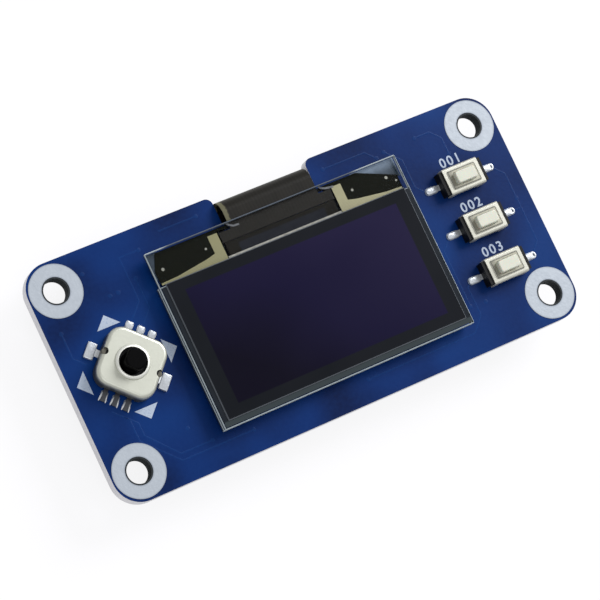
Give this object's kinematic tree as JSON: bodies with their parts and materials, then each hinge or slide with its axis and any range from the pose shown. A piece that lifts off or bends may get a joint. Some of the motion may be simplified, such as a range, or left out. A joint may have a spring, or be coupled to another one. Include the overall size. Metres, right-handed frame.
{
  "type": "display and button board",
  "caption": "Small blue circuit board with an OLED panel, a five-way joystick and push keys on the front, a folded ribbon cable and a two-row socket on the back.",
  "frame": {"origin": "middle of the four mounting holes, on the board's front face", "axes": "+X along the long side towards the keys, +Y towards the notched edge, +Z towards the viewer"},
  "size_m": [0.065, 0.0302, 0.0103],
  "materials": {
    "solder_mask": "blue lacquer, slightly glossy",
    "tinned_metal": "tinned, satin",
    "foam_tape": "matte",
    "glass": "polished",
    "emitter": "smooth",
    "polarizer": "smooth, semi-gloss",
    "silicon": "polished",
    "black_resin": "satin",
    "trace_metal": "satin",
    "ribbon_film": "satin film",
    "black_plastic": "moulded, matte",
    "contact_metal": "plated, bright",
    "capacitor_ceramic": "fired, matte",
    "spring_steel": "bright",
    "stick_plastic": "moulded, satin",
    "shield_steel": "pressed sheet, satin",
    "button_plastic": "moulded, satin"
  },
  "bodies": {
    "root": {"circuit_board": "solder_mask", "hole_rings": "tinned_metal", "front_pads": "tinned_metal", "back_pads": "tinned_metal", "panel_tape": "foam_tape", "cap_glass": "glass", "emissive_layer": "emitter", "front_glass": "glass", "polarizer_film": "polarizer", "driver_chip": "silicon", "chip_resin": "black_resin", "ledge_masks": "black_resin", "row_traces": "trace_metal", "ribbon": "ribbon_film", "ribbon_joints": "tinned_metal", "socket_housing": "black_plastic", "socket_contacts": "contact_metal", "capacitor_bodies": "capacitor_ceramic", "capacitor_ends": "tinned_metal", "resistor_bodies": "black_plastic", "resistor_ends": "tinned_metal", "regulator_body": "black_plastic", "regulator_leads": "tinned_metal", "joystick_base": "black_plastic", "joystick_leads": "tinned_metal", "joystick_dome": "spring_steel", "joystick_shield": "shield_steel", "key_1_base": "black_plastic", "key_1_leads": "tinned_metal", "key_1_dome": "spring_steel", "key_1_cover": "shield_steel", "key_2_base": "black_plastic", "key_2_leads": "tinned_metal", "key_2_dome": "spring_steel", "key_2_cover": "shield_steel", "key_3_base": "black_plastic", "key_3_leads": "tinned_metal", "key_3_dome": "spring_steel", "key_3_cover": "shield_steel"},
    "key_1": {"key_1_button": "button_plastic"},
    "key_2": {"key_2_button": "button_plastic"},
    "key_3": {"key_3_button": "button_plastic"},
    "plunger": {"joystick_plunger": "stick_plastic"},
    "rocker": {"joystick_rocker": "stick_plastic"},
    "stick": {"joystick_stick": "stick_plastic"}
  },
  "joints": [
    {"name": "key_1_press", "type": "slide", "parent": "root", "child": "key_1", "axis": [0, 0, -1], "range_m": [0, 0.00025], "stiffness_N_per_m": 6000, "springref_m": -0.00002, "deforming": ["key_1_dome"]},
    {"name": "key_2_press", "type": "slide", "parent": "root", "child": "key_2", "axis": [0, 0, -1], "range_m": [0, 0.00025], "stiffness_N_per_m": 6000, "springref_m": -0.00002, "deforming": ["key_2_dome"]},
    {"name": "key_3_press", "type": "slide", "parent": "root", "child": "key_3", "axis": [0, 0, -1], "range_m": [0, 0.00025], "stiffness_N_per_m": 6000, "springref_m": -0.00002, "deforming": ["key_3_dome"]},
    {"name": "stick_press", "type": "slide", "parent": "root", "child": "plunger", "axis": [0, 0, -1], "range_m": [0, 0.0002], "stiffness_N_per_m": 8000, "springref_m": -0.00002, "deforming": ["joystick_dome"]},
    {"name": "stick_tilt_x", "type": "hinge", "parent": "plunger", "child": "rocker", "pos_m": [-0.02495, 0.00015, 0.00135], "axis": [1, 0, 0], "range_deg": [-7, 7], "stiffness_Nm_per_rad": 0.04},
    {"name": "stick_tilt_y", "type": "hinge", "parent": "rocker", "child": "stick", "pos_m": [-0.02495, 0.00015, 0.00135], "axis": [0, 1, 0], "range_deg": [-7, 7], "stiffness_Nm_per_rad": 0.04}
  ]
}
